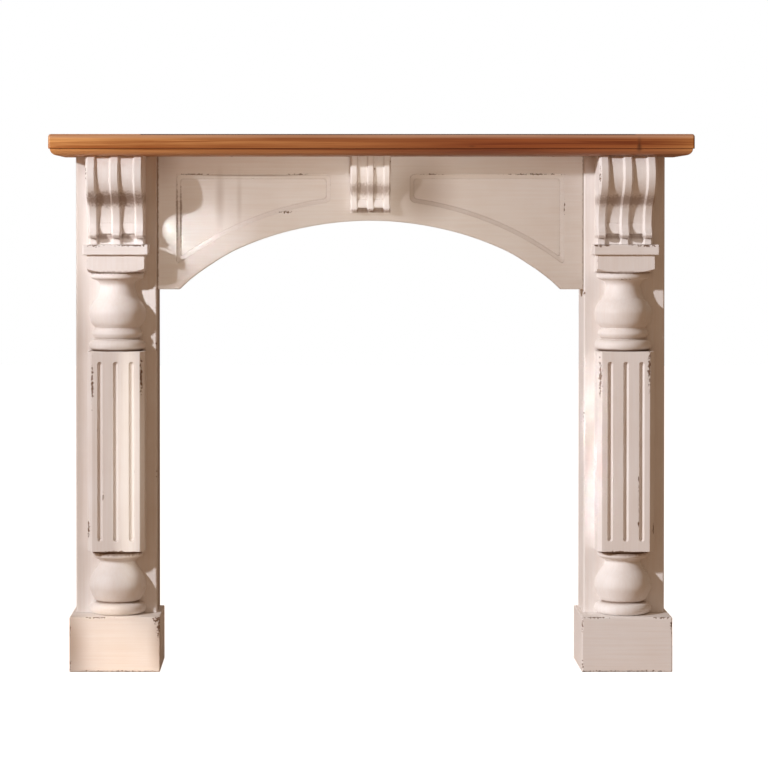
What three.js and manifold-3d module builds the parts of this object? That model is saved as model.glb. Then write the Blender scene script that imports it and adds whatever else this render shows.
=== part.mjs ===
// A painted timber mantelpiece with a moulded pine shelf. Millimetres, +Z up.
// X runs along the shelf and Y from the room to the wall. The origin is on the floor,
// under the middle of the whole piece.
import * as THREE from 'three';
import { mergeVertices } from 'three/addons/utils/BufferGeometryUtils.js';
import Module from 'manifold-3d';

const wasm = await Module();
wasm.setup();

// Left between pieces that touch
const GAP = 0.3;

// Fire opening, and the frieze board over it
const OPENING_WIDTH = 924;
const FRIEZE_THICKNESS = 25;
const FRIEZE_SETBACK = 5;
const SHOULDER_DROP = 287.7;
const SHOULDER_WIDTH = 49.5;
const ARCH_RISE = 148.5;

// The arch from its crown to its springing, as share of half its width and share of its rise.
// It is fuller at the haunches than an arc.
const ARCH_LINE = [[0, 1], [0.242, 0.95], [0.485, 0.805], [0.703, 0.577], [0.849, 0.337], [0.946, 0.139],
  [1, 0]];

// Sunk spandrel panels of the frieze
const PANEL_STILE = 42;
const PANEL_TOP_RAIL = 39;
const PANEL_ARCH_RAIL = 45.5;
const PANEL_FROM_MIDDLE = 85.6;
const PANEL_SINK = 9;
const PANEL_BEVEL = 9;
const PANEL_CORNER = 8;

// Pilasters, each a face board with two returns
const PILASTER_WIDTH = 175;
const PILASTER_DEPTH = 115;
const FACE_THICKNESS = 22;
const RETURN_THICKNESS = 20;
const FACE_ARRIS_WIDTH = 4;

// What stands on a plinth, from the floor up
const PLINTH_HEIGHT = 118;
const LOWER_TURNING = 138.5;
const FLUTED_BLOCK = 430;
const UPPER_TURNING = 169.3;
const CAPITAL_BLOCK = 38;
const IMPOST_THICKNESS = 22.4;
const CORBEL_HEIGHT = 190;
const SHELF_THICKNESS = 45;

// The half columns and the corbels over them share one width, and stand a little nearer to the
// opening than the middle of the pilaster
const COLUMN_WIDTH = 123;
const COLUMN_INSET_WIDTH = 2.5;

// Plinth lips past the pilaster's sides and the column's front
const PLINTH_INNER_LIP = 10;
const PLINTH_OUTER_LIP = 9;
const PLINTH_FRONT_LIP = 10.5;
const PLINTH_ARRIS_WIDTH = 1.5;

// Turned rings, with the depth that each is cut below the blank's faces
const BASE_RING = 24;
const TOP_RING = 24;
const SMALL_RING = 21;
const SMALL_RING_CUT = 7;
const GROOVE = 2.5;
const GROOVE_CUT = 13.5;
const LOWER_DISC = 12;
const LOWER_DISC_CUT = 6.5;
const FILLET = 5.5;
const FILLET_CUT = 11.5;
const UPPER_DISC = 15;
const UPPER_DISC_CUT = 4;
const DISC_ROUND = 1;
const DISC_FALL = 7;

// The capital block's turned shoulder, which rises towards its corners
const SHOULDER_RISE = 8.5;
const SHOULDER_CURVE = 0.35;

// Turned vases from the foot up, as share of the vase's height and depth of cut
const LOWER_VASE = [[0, 16.5], [0.16, 5.5], [0.36, 0], [0.58, 5], [0.76, 16],
  [0.9, 22.8], [0.96, 19], [1, 13.5]];
const UPPER_VASE = [[0, 13.5], [0.1, 4.5], [0.28, 0], [0.39, 1.5], [0.52, 8.5], [0.62, 17], [0.75, 22],
  [0.88, 24], [0.96, 18.5], [1, 11]];

// Flutes and chamfers of the square block
const FLUTE_COUNT = 3;
const FLUTE_WIDTH = 11.3;
const FLUTE_PITCH = 33.8;
const FLUTE_MARGIN = 22;
const BLOCK_CHAMFER = 10;

// Impost slab past the column, and its eased edge
const IMPOST_OVERHANG = 8.5;
const IMPOST_ARRIS_WIDTH = 2;

// Corbels, three ribs with two sunk fields. A field's foot ends higher than a rib's by footLiftHeight.
// fieldFoot is the field's greatest share of the projection there, so that only the ribs' feet flare.
// baseDepth is the thickness left under the fields' feet. The curve runs from the top down to the
// foot's tip, as share of the projection and share of the height.
const RIB_COUNT = 3;
const FOOT_SHARE = 0.22;
const SIDE_CORBEL = {
  height: CORBEL_HEIGHT,
  width: COLUMN_WIDTH,
  projectionDepth: 108,
  ribWidth: 23,
  ribBevelWidth: 4.75,
  reliefDepth: 8,
  footLiftHeight: 9,
  fieldFoot: 0.33,
  foot: 0.07,
  baseDepth: 20,
  curve: [[0.84, 1], [0.96, 0.9], [1, 0.8], [0.97, 0.7], [0.86, 0.605], [0.66, 0.52], [0.48, 0.44],
    [0.36, 0.34], [0.315, 0.25], [0.33, 0.19], [0.385, 0.145], [0.445, 0.115], [0.42, 0.075]],
};
const CENTRE_CORBEL = {
  height: 122,
  width: 87,
  projectionDepth: 50,
  ribWidth: 17,
  ribBevelWidth: 3.75,
  reliefDepth: 6,
  footLiftHeight: 8,
  fieldFoot: 0.54,
  foot: 0.02,
  baseDepth: 2,
  curve: [[0.92, 1], [1, 0.86], [0.98, 0.7], [0.88, 0.59], [0.68, 0.46], [0.48, 0.34], [0.4, 0.25],
    [0.42, 0.16], [0.5, 0.08], [0.54, 0.05], [0.5, 0.022]],
};

// Shelf past the corbels and the pilasters, and its moulding
const SHELF_PAST_CORBEL = 10;
const SHELF_END_OVERHANG = 49;
const SHELF_TOP_ROUND = 6;
const SHELF_QUIRK = 3.5;
const SHELF_OVOLO = 14;

// Facets of the curved surfaces
const TURNING_SIDES = 40;
const VASE_STEPS = 14;
const ROUND_STEPS = 5;
const ARCH_STEPS = 40;
const BRACKET_STEPS = 20;
const FLUTE_SIDES = 12;
const FLUTE_END_STEPS = 3;

// Levels, from the floor up
const plinthTop = PLINTH_HEIGHT;
const blockBottom = plinthTop + LOWER_TURNING;
const blockTop = blockBottom + FLUTED_BLOCK;
const capitalBottom = blockTop + UPPER_TURNING;
const impostBottom = capitalBottom + CAPITAL_BLOCK;
const corbelBottom = impostBottom + IMPOST_THICKNESS;
const shelfBottom = corbelBottom + CORBEL_HEIGHT;
const shelfTop = shelfBottom + SHELF_THICKNESS;

// Planes across the piece
const shelfDepth = PILASTER_DEPTH + SIDE_CORBEL.projectionDepth + SHELF_PAST_CORBEL;
const wallY = shelfDepth / 2;
const faceY = wallY - PILASTER_DEPTH;
const friezeY = faceY + FRIEZE_SETBACK;
const pilasterInner = OPENING_WIDTH / 2;
const pilasterOuter = pilasterInner + PILASTER_WIDTH;
const columnMiddle = (pilasterInner + pilasterOuter) / 2 - COLUMN_INSET_WIDTH;
const shelfHalf = pilasterOuter + SHELF_END_OVERHANG;
const columnHalf = COLUMN_WIDTH / 2;

const paint = () => new THREE.MeshStandardMaterial({ color: 0xefe0d2, roughness: 0.62, metalness: 0 });
const pine = () => new THREE.MeshStandardMaterial({ color: 0xb9713c, roughness: 0.5, metalness: 0 });

// A closed geometry as a solid that can be joined and cut
const solidOf = (geometry) => {
  geometry.deleteAttribute('normal');
  geometry.deleteAttribute('uv');
  const merged = mergeVertices(geometry, 1e-4);
  const corners = merged.index.array;
  const kept = [];
  for (let i = 0; i < corners.length; i += 3) {
    const [a, b, c] = [corners[i], corners[i + 1], corners[i + 2]];
    if (a !== b && b !== c && c !== a) {
      kept.push(a, b, c);
    }
  }
  return new wasm.Manifold(new wasm.Mesh({
    numProp: 3,
    vertProperties: new Float32Array(merged.attributes.position.array),
    triVerts: new Uint32Array(kept),
  }));
};

const geometryOf = (solid) => {
  const mesh = solid.getMesh();
  const geometry = new THREE.BufferGeometry();
  geometry.setAttribute('position', new THREE.BufferAttribute(mesh.vertProperties, 3));
  geometry.setIndex(new THREE.BufferAttribute(mesh.triVerts, 1));
  geometry.computeVertexNormals();
  return geometry;
};

const pieceOf = (name, solid, material) => {
  const mesh = new THREE.Mesh(geometryOf(solid), material);
  mesh.name = name;
  return mesh;
};

// A rectangular block between two corners, its edges eased by a small bevel
const easedBlock = (low, high, ease) => {
  const outline = new THREE.Shape([
    new THREE.Vector2(low[0] + ease, low[1] + ease),
    new THREE.Vector2(high[0] - ease, low[1] + ease),
    new THREE.Vector2(high[0] - ease, high[1] - ease),
    new THREE.Vector2(low[0] + ease, high[1] - ease),
  ]);
  const geometry = new THREE.ExtrudeGeometry(outline, {
    depth: high[2] - low[2] - 2 * ease,
    bevelEnabled: ease > 0,
    bevelThickness: ease,
    bevelSize: ease,
    bevelSegments: 1,
    steps: 1,
  });
  return solidOf(geometry.translate(0, 0, low[2] + ease));
};

// A shape drawn in X and Z, pushed back along Y from the given plane
const pushedBack = (shape, frontY, depth, options = {}) => {
  const geometry = new THREE.ExtrudeGeometry(shape, { depth, bevelEnabled: false, ...options });
  return solidOf(geometry.rotateX(Math.PI / 2).translate(0, frontY + depth, 0));
};

// The shelf's edge, from the ovolo's foot up to the top, as distance from the shelf's middle
const shelfEdge = (half) => {
  const edge = new THREE.Path();
  const quirkZ = shelfBottom + SHELF_OVOLO;
  edge.moveTo(half - SHELF_QUIRK - SHELF_OVOLO, shelfBottom);
  edge.absarc(half - SHELF_QUIRK - SHELF_OVOLO, quirkZ, SHELF_OVOLO, -Math.PI / 2, 0);
  edge.lineTo(half, quirkZ);
  edge.absarc(half - SHELF_TOP_ROUND, shelfTop - SHELF_TOP_ROUND, SHELF_TOP_ROUND, 0, Math.PI / 2);
  return edge.getPoints(ROUND_STEPS);
};

const shelf = () => {
  const rightEnd = shelfEdge(shelfHalf);
  const leftEnd = rightEnd.map((point) => new THREE.Vector2(-point.x, point.y)).reverse();
  const along = pushedBack(new THREE.Shape([...rightEnd, ...leftEnd]), -shelfDepth / 2, shelfDepth);
  const front = shelfEdge(shelfDepth / 2).map((point) => new THREE.Vector2(-point.x, point.y));
  const section = new THREE.Shape([
    new THREE.Vector2(wallY, shelfBottom), ...front, new THREE.Vector2(wallY, shelfTop),
  ]);
  const across = new THREE.ExtrudeGeometry(section, { depth: 2 * shelfHalf, bevelEnabled: false });
  across.rotateX(Math.PI / 2).rotateZ(Math.PI / 2).translate(-shelfHalf, 0, 0);
  return pieceOf('shelf', along.intersect(solidOf(across)), pine());
};

// The frieze's arch, and the arc that its panels follow
const shoulderZ = shelfBottom - SHOULDER_DROP;
const archHalf = pilasterInner - SHOULDER_WIDTH;
const archRadius = (archHalf ** 2 + ARCH_RISE ** 2) / (2 * ARCH_RISE);
const archCentreZ = shoulderZ + ARCH_RISE - archRadius;

const archPoints = () => {
  const right = ARCH_LINE.map(([out, up]) => new THREE.Vector2(out * archHalf, shoulderZ + up * ARCH_RISE));
  const left = right.slice(1).map((point) => new THREE.Vector2(-point.x, point.y)).reverse();
  return new THREE.SplineCurve([...left, ...right]).getPoints(ARCH_STEPS);
};

const friezeOutline = () => {
  const half = pilasterInner - GAP;
  const top = shelfBottom - GAP;
  return new THREE.Shape([
    new THREE.Vector2(half, top),
    new THREE.Vector2(-half, top),
    new THREE.Vector2(-half, shoulderZ),
    ...archPoints(),
    new THREE.Vector2(half, shoulderZ),
  ]);
};

// The floor of one sunk panel; its bevel widens it to the full panel at the frieze's face
const panelFloor = (side) => {
  const inner = PANEL_FROM_MIDDLE + PANEL_BEVEL;
  const outer = pilasterInner - PANEL_STILE - PANEL_BEVEL;
  const top = shelfBottom - PANEL_TOP_RAIL - PANEL_BEVEL;
  const radius = archRadius + PANEL_ARCH_RAIL + PANEL_BEVEL;
  const innerFoot = archCentreZ + Math.sqrt(radius ** 2 - inner ** 2);
  const outerFoot = archCentreZ + Math.sqrt(radius ** 2 - outer ** 2);
  const turn = PANEL_CORNER / radius;
  const outline = new THREE.Path();
  outline.moveTo(inner, top - PANEL_CORNER);
  outline.quadraticCurveTo(inner, top, inner + PANEL_CORNER, top);
  outline.lineTo(outer - PANEL_CORNER, top);
  outline.quadraticCurveTo(outer, top, outer, top - PANEL_CORNER);
  outline.lineTo(outer, outerFoot + PANEL_CORNER);
  const start = Math.acos(outer / radius) + turn;
  const end = Math.acos(inner / radius) - turn;
  outline.quadraticCurveTo(
    outer, outerFoot, radius * Math.cos(start), archCentreZ + radius * Math.sin(start),
  );
  outline.absarc(0, archCentreZ, radius, start, end);
  outline.quadraticCurveTo(inner, innerFoot, inner, innerFoot + PANEL_CORNER);
  const points = outline.getPoints(ROUND_STEPS + 1);
  return new THREE.Shape(points.map((point) => new THREE.Vector2(side * point.x, point.y)));
};

const frieze = () => {
  let solid = pushedBack(friezeOutline(), friezeY, FRIEZE_THICKNESS);
  for (const side of [-1, 1]) {
    const cutter = pushedBack(panelFloor(side), friezeY - FRIEZE_THICKNESS, FRIEZE_THICKNESS, {
      bevelEnabled: true,
      bevelThickness: PANEL_SINK,
      bevelSize: PANEL_BEVEL,
      bevelSegments: 1,
    });
    solid = solid.subtract(cutter);
  }
  return pieceOf('frieze', solid, paint());
};

const pilaster = (side, sideName) => {
  const top = shelfBottom - GAP;
  const faceBack = faceY + FACE_THICKNESS;
  const board = (name, fromX, toX, fromY, toY, ease) => {
    const [left, right] = [side * fromX, side * toX].sort((a, b) => a - b);
    const solid = easedBlock([left, fromY, plinthTop], [right, toY, top], ease);
    return pieceOf(`${name}_${sideName}`, solid, paint());
  };
  const innerEdge = pilasterInner + RETURN_THICKNESS;
  const outerEdge = pilasterOuter - RETURN_THICKNESS;
  return [
    board('pilaster_face', pilasterInner, pilasterOuter, faceY, faceBack, FACE_ARRIS_WIDTH),
    board('pilaster_inner_return', pilasterInner, innerEdge, faceBack + GAP, wallY, 0),
    board('pilaster_outer_return', outerEdge, pilasterOuter, faceBack + GAP, wallY, 0),
  ];
};

const plinth = (side, sideName) => {
  const edges = [side * (pilasterInner - PLINTH_INNER_LIP), side * (pilasterOuter + PLINTH_OUTER_LIP)];
  const [left, right] = edges.sort((a, b) => a - b);
  const front = faceY - columnHalf - PLINTH_FRONT_LIP;
  const solid = easedBlock([left, front, 0], [right, wallY, PLINTH_HEIGHT - GAP], PLINTH_ARRIS_WIDTH);
  return pieceOf(`plinth_${sideName}`, solid, paint());
};

// A vase's outline between two levels
const vaseOutline = (stations, foot, head) => {
  const height = head - foot;
  const points = stations.map(([share, cut]) => new THREE.Vector2(columnHalf - cut, foot + share * height));
  return new THREE.SplineCurve(points).getPoints(VASE_STEPS);
};

// A half-round ring that reaches the blank's faces
const ringOutline = (foot, height) => {
  const ring = new THREE.Path();
  ring.absarc(columnHalf - height / 2, foot + height / 2, height / 2, -Math.PI / 2, Math.PI / 2);
  return ring.getPoints(ROUND_STEPS + 1);
};

// A disc whose edge falls back towards its foot by DISC_FALL. The vase under it ends at that depth.
const discOutline = (cut, foot, head) => {
  const edge = columnHalf - cut;
  const height = head - foot;
  return [
    new THREE.Vector2(edge - DISC_FALL * 0.3, foot + height * 0.25),
    new THREE.Vector2(edge, foot + height * 0.6),
    new THREE.Vector2(edge, head - DISC_ROUND),
  ];
};

// The column's radius against height. Square parts lie outside the blank's corners here,
// so that the blank's own faces bound them.
const columnOutline = () => {
  const outside = COLUMN_WIDTH;
  const corner = COLUMN_WIDTH * Math.SQRT1_2;
  const at = (cut, z) => new THREE.Vector2(columnHalf - cut, z);
  const lowerDiscTop = blockBottom - FILLET;
  const lowerDiscFoot = lowerDiscTop - LOWER_DISC;
  const smallRingFoot = blockTop + TOP_RING + GROOVE;
  const smallRingTop = smallRingFoot + SMALL_RING;
  const upperDiscFoot = capitalBottom - UPPER_DISC;
  const smallRing = new THREE.SplineCurve([
    at(GROOVE_CUT, smallRingFoot),
    at(SMALL_RING_CUT, (smallRingFoot + smallRingTop) / 2),
    at(GROOVE_CUT, smallRingTop),
  ]).getPoints(ROUND_STEPS);
  return [
    new THREE.Vector2(0, plinthTop),
    ...ringOutline(plinthTop, BASE_RING),
    ...vaseOutline(LOWER_VASE, plinthTop + BASE_RING + GROOVE, lowerDiscFoot),
    ...discOutline(LOWER_DISC_CUT, lowerDiscFoot, lowerDiscTop),
    at(FILLET_CUT, lowerDiscTop),
    at(FILLET_CUT, blockBottom),
    new THREE.Vector2(outside, blockBottom),
    new THREE.Vector2(outside, blockTop),
    ...ringOutline(blockTop, TOP_RING),
    at(GROOVE_CUT, blockTop + TOP_RING + GROOVE / 2),
    ...smallRing,
    ...vaseOutline(UPPER_VASE, smallRingTop + GROOVE, upperDiscFoot),
    ...discOutline(UPPER_DISC_CUT, upperDiscFoot, capitalBottom),
    at(0, capitalBottom),
    new THREE.Vector2((columnHalf + corner) / 2, capitalBottom + SHOULDER_RISE * SHOULDER_CURVE),
    new THREE.Vector2(corner, capitalBottom + SHOULDER_RISE),
    new THREE.Vector2(outside, capitalBottom + SHOULDER_RISE),
    new THREE.Vector2(outside, impostBottom - GAP),
    new THREE.Vector2(0, impostBottom - GAP),
  ];
};

const halfColumn = (side, sideName) => {
  const turned = new THREE.LatheGeometry(columnOutline(), TURNING_SIDES);
  let solid = solidOf(turned.rotateX(Math.PI / 2));
  solid = solid.intersect(easedBlock([-columnHalf, -columnHalf, 0], [columnHalf, -GAP, impostBottom], 0));
  for (const edge of [-1, 1]) {
    const cut = new THREE.Shape([
      new THREE.Vector2(edge * columnHalf, -columnHalf + BLOCK_CHAMFER),
      new THREE.Vector2(edge * (columnHalf - BLOCK_CHAMFER), -columnHalf),
      new THREE.Vector2(edge * COLUMN_WIDTH, -COLUMN_WIDTH),
    ]);
    const chamfer = new THREE.ExtrudeGeometry(cut, { depth: FLUTED_BLOCK, bevelEnabled: false });
    solid = solid.subtract(solidOf(chamfer.translate(0, 0, blockBottom)));
  }
  for (let flute = 0; flute < FLUTE_COUNT; flute += 1) {
    const straight = FLUTED_BLOCK - 2 * FLUTE_MARGIN - FLUTE_WIDTH;
    const gouge = new THREE.CapsuleGeometry(FLUTE_WIDTH / 2, straight, FLUTE_END_STEPS, FLUTE_SIDES);
    const x = (flute - (FLUTE_COUNT - 1) / 2) * FLUTE_PITCH;
    gouge.rotateX(Math.PI / 2).translate(x, -columnHalf, blockBottom + FLUTED_BLOCK / 2);
    solid = solid.subtract(solidOf(gouge));
  }
  const column = pieceOf(`half_column_${sideName}`, solid, paint());
  column.position.set(side * columnMiddle, faceY, 0);
  return column;
};

const impost = (side, sideName) => {
  const half = columnHalf + IMPOST_OVERHANG;
  const middle = side * columnMiddle;
  const low = [middle - half, faceY - half, impostBottom];
  const high = [middle + half, faceY - GAP, corbelBottom - GAP];
  return pieceOf(`impost_${sideName}`, easedBlock(low, high, IMPOST_ARRIS_WIDTH), paint());
};

// A bracket's side outline, as points in Y and Z: the back, the top, the S-curve, the base.
// proud is how far it stands in front of the fields.
const bracketOutline = (bracket, proud) => {
  const height = bracket.height - GAP;
  const lift = proud > 0 ? 0 : bracket.footLiftHeight;
  const fullest = proud > 0 ? 1 : bracket.fieldFoot;
  const front = bracket.curve.map(([out, up]) => new THREE.Vector2(
    bracket.reliefDepth - proud - (up < FOOT_SHARE ? Math.min(out, fullest) : out) * bracket.projectionDepth,
    up * height + (up < FOOT_SHARE ? lift : 0),
  ));
  return [
    new THREE.Vector2(-GAP, 0),
    new THREE.Vector2(-GAP, height),
    ...new THREE.SplineCurve(front).getPoints(BRACKET_STEPS),
    new THREE.Vector2(-bracket.baseDepth - proud, bracket.foot * height + lift),
    new THREE.Vector2(-bracket.baseDepth - proud, 0),
  ];
};

// Outlines of equal length, joined along X in order, with flat ends
const joinedOutlines = (stations) => {
  const count = stations[0].outline.length;
  const positions = stations.flatMap(({ x, outline }) => outline.flatMap((point) => [x, point.x, point.y]));
  const last = (stations.length - 1) * count;
  const startEnd = THREE.ShapeUtils.triangulateShape(stations[0].outline, []);
  const farEnd = THREE.ShapeUtils.triangulateShape(stations[stations.length - 1].outline, []);
  const triangles = startEnd.flatMap(([a, b, c]) => [a, c, b]);
  triangles.push(...farEnd.flat().map((corner) => last + corner));
  for (let ring = 0; ring < last; ring += count) {
    for (let k = 0; k < count; k += 1) {
      const next = (k + 1) % count;
      triangles.push(ring + k, ring + next, ring + count + next);
      triangles.push(ring + k, ring + count + next, ring + count + k);
    }
  }
  const geometry = new THREE.BufferGeometry();
  geometry.setAttribute('position', new THREE.Float32BufferAttribute(positions, 3));
  geometry.setIndex(triangles);
  return geometry;
};

const corbel = (name, bracket, place) => {
  const rib = bracketOutline(bracket, bracket.reliefDepth);
  const field = bracketOutline(bracket, 0);
  const pitch = (bracket.width - bracket.ribWidth) / (RIB_COUNT - 1);
  const stations = [];
  for (let i = 0; i < RIB_COUNT; i += 1) {
    const start = -bracket.width / 2 + i * pitch;
    const end = start + bracket.ribWidth;
    stations.push({ x: start, outline: field });
    stations.push({ x: start + bracket.ribBevelWidth, outline: rib });
    stations.push({ x: end - bracket.ribBevelWidth, outline: rib });
    stations.push({ x: end, outline: field });
  }
  const piece = pieceOf(name, solidOf(joinedOutlines(stations)), paint());
  piece.position.set(...place);
  return piece;
};

const mantelpiece = new THREE.Group();
mantelpiece.add(shelf(), frieze());
for (const [side, sideName] of [[-1, 'left'], [1, 'right']]) {
  mantelpiece.add(plinth(side, sideName), ...pilaster(side, sideName));
  mantelpiece.add(halfColumn(side, sideName), impost(side, sideName));
  mantelpiece.add(corbel(`corbel_${sideName}`, SIDE_CORBEL, [side * columnMiddle, faceY, corbelBottom]));
}
mantelpiece.add(corbel('corbel_centre', CENTRE_CORBEL, [0, friezeY, shelfBottom - CENTRE_CORBEL.height]));

export default mantelpiece;
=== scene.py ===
# A painted timber mantelpiece with an oiled pine shelf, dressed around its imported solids.
# Metres, +Z up. X runs along the shelf and Y from the room to the wall.

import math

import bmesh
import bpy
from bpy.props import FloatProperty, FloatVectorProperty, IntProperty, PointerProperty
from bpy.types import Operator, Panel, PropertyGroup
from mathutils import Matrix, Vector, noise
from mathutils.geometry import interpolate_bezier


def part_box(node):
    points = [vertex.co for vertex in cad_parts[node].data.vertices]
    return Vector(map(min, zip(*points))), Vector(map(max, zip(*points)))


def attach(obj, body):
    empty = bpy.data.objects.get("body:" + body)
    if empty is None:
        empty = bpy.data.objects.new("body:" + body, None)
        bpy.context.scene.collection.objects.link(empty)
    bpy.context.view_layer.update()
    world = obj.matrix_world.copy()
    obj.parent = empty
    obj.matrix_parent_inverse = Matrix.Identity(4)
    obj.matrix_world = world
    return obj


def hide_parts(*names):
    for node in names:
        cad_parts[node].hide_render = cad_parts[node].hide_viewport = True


bl_info = {
    "name": "Painted mantelpiece",
    "version": (1, 0, 0),
    "blender": (4, 5, 0),
    "location": "View3D > Sidebar > Mantelpiece",
    "description": "Builds a brush-painted fire surround with a moulded pine shelf",
    "category": "Add Mesh",
}

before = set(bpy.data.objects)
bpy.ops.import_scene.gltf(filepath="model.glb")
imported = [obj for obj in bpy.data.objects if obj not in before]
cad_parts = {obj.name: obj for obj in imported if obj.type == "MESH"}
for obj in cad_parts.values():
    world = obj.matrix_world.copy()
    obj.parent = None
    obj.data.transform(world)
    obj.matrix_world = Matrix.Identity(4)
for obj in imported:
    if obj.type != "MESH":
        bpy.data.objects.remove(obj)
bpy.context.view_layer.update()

MM = 0.001
SIDES = ("left", "right")
NODES = sorted(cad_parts)
BOXES = {name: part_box(name) for name in NODES}

# Left between pieces that touch, as in the solids
GAP = 0.3 * MM

# How far one shell reaches into the next before the two are joined
OVERLAP = 1 * MM

# Plane of the pilasters' faces, which the columns, imposts and side corbels stand on
FACE_Y = BOXES["pilaster_face_left"][0].y

# The arch from its crown to its springing, as share of half its width and share of its rise
ARCH_LINE = ((0, 1), (0.242, 0.95), (0.485, 0.805), (0.703, 0.577), (0.849, 0.337), (0.946, 0.139),
             (1, 0))

# Vases from the foot up, as share of the height and depth of cut below the blank's face in mm
LOWER_VASE = ((0, 16.5), (0.05, 11), (0.16, 5.5), (0.36, 0), (0.58, 5), (0.76, 16),
              (0.9, 22.8), (0.96, 19), (1, 13.5))
UPPER_VASE = ((0, 13.5), (0.1, 4.5), (0.28, 0), (0.39, 1.5), (0.52, 8.5), (0.62, 17), (0.75, 22),
              (0.88, 24), (0.96, 18.5), (1, 11))

# Brackets: the curve runs from the top down to the foot's tip, as share of projection and share of
# height. Ribs, bevels, relief, the lift of the fields' feet, the base under them and the reach of the
# grime and painted shade are in mm, and a field's foot goes no further out than its share of the projection.
SIDE_CARVING = {
    "rib": 23, "bevel": 4.75, "relief": 8, "lift": 9, "foot": 0.07, "base": 20, "field_foot": 0.32,
    "hollow": 16,
    "curve": ((0.84, 1), (0.96, 0.9), (1, 0.8), (0.97, 0.7), (0.86, 0.605), (0.66, 0.52), (0.48, 0.44),
              (0.36, 0.34), (0.315, 0.25), (0.33, 0.19), (0.385, 0.145), (0.445, 0.115), (0.42, 0.075)),
}
CENTRE_CARVING = {
    "rib": 17, "bevel": 3.75, "relief": 6, "lift": 8, "foot": 0.02, "base": 2, "field_foot": 0.54,
    "hollow": 26,
    "curve": ((0.92, 1), (1, 0.86), (0.98, 0.7), (0.88, 0.59), (0.68, 0.46), (0.48, 0.34), (0.4, 0.25),
              (0.42, 0.16), (0.5, 0.08), (0.54, 0.05), (0.5, 0.022)),
}

# Height share under which a bracket's curve belongs to its foot
FOOT_SHARE = 0.22

# Places where the paint is worn through, as middle and reach along X, Y and Z in mm.
# Those on a column, impost or side corbel are measured from its middle line.
WEAR = {
    "half_column_left": (
        ((-50.5, -60, 620), (2.6, 3.5, 33)), ((54.5, -57, 633), (2.8, 4, 31)),
        ((-27.7, -60, 375), (1.6, 2, 6)), ((-2, -60, 257), (25, 3, 1.8)),
        ((3, -56, 840.8), (10, 5, 1.4)), ((-58, -52, 305), (3, 4, 14)),
    ),
    "half_column_right": (
        ((-54.9, -57, 630), (3.2, 4.5, 33)), ((49.8, -60, 650), (2.6, 3.5, 35)),
        ((27.8, -60, 415.8), (1.8, 2, 6)), ((27.8, -60, 317.3), (1.8, 2, 6)),
        ((28.2, -60, 366), (0.7, 1.5, 46)), ((-11, -60, 257), (20, 3, 1.8)),
        ((-2, -56, 840.8), (20, 6, 1.4)), ((61, -49, 305), (3, 4, 10)),
    ),
    "impost_left": (
        ((-45, -68.5, 915.2), (14, 4, 3)), ((30, -68.5, 915.2), (36, 4, 2.6)),
    ),
    "impost_right": (
        ((-50.5, -68.5, 915.2), (22, 4, 3)), ((41.5, -68.5, 915.2), (26, 4, 3)),
    ),
    "plinth_left": (
        ((-453.5, -70.5, 99), (4.5, 4, 22)), ((-456, -70.5, 113), (8, 6, 8)),
        ((-646, -70.5, 88), (3, 3, 11)),
        ((-646, -70.5, 14), (3, 3, 10)), ((-590, -70.5, 117.5), (22, 2.5, 1.8)),
        ((-546, -70.5, 0), (115, 3, 2.6)),
    ),
    "plinth_right": (
        ((480.5, -70.5, 117.5), (23, 3, 2.2)), ((623, -70.5, 117.5), (15, 3, 2.2)),
        ((452, -70.5, 101), (3, 3, 15)), ((452, -70.5, 15), (3, 3, 11)),
        ((646, -70.5, 98), (3.4, 3.4, 20)), ((546, -70.5, 0), (115, 3, 2.6)),
    ),
    "frieze": (
        ((-382, 6.5, 1067.2), (25, 3, 1.5)), ((-158, 6.5, 1067.2), (18, 3, 1.5)),
        ((137, 6.5, 1067.2), (20, 3, 1.5)), ((355, 6.5, 1067.2), (48, 3, 1.4)),
        ((420, 6.5, 992), (1.6, 3, 12)), ((-193.5, 6.5, 986), (22, 3, 2.4)),
    ),
    "corbel_left": (
        ((-61.5, -100, 1067), (2, 5, 14)),
    ),
    "corbel_right": (
        ((-61.5, -103, 1061), (2.6, 6, 17)),
    ),
    "corbel_centre": (
        ((2.5, -26, 988.2), (7.5, 7, 4)), ((9, -42, 1078.2), (1.6, 5, 6)), ((43.5, -43, 1094.2), (1.8, 5, 5)),
    ),
    "pilaster_face_left": (
        ((-462, 2, 695), (1.6, 3, 9)), ((-462, 2, 425), (1.5, 3, 12)),
    ),
    "pilaster_face_right": (
        ((462.5, 2, 812), (2, 3, 5)), ((462, 2, 545), (1.5, 3, 10)),
    ),
}

# Painted shade where shadows fall and the light is dim, and two soft tone bands on the frieze,
# as middle and reach in mm and strength
SHADE_AND_SOIL = {
    "frieze": (((112, 6.5, 1030), (95, 60, 95), 0.85), ((-455, 6.5, 1100), (60, 60, 90), 0.5),
               ((-326, 6.5, 1010), (15, 60, 90), 0.45), ((-284, 6.5, 1010), (9, 60, 80), 0.3)),
    "plinth_left": (((-652, -70.5, 60), (62, 60, 120), 0.9), ((-448, -70.5, 60), (36, 60, 110), 0.6)),
    "pilaster_face_left": (((-637, 0, 600), (40, 60, 900), 0.5),),
}
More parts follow.
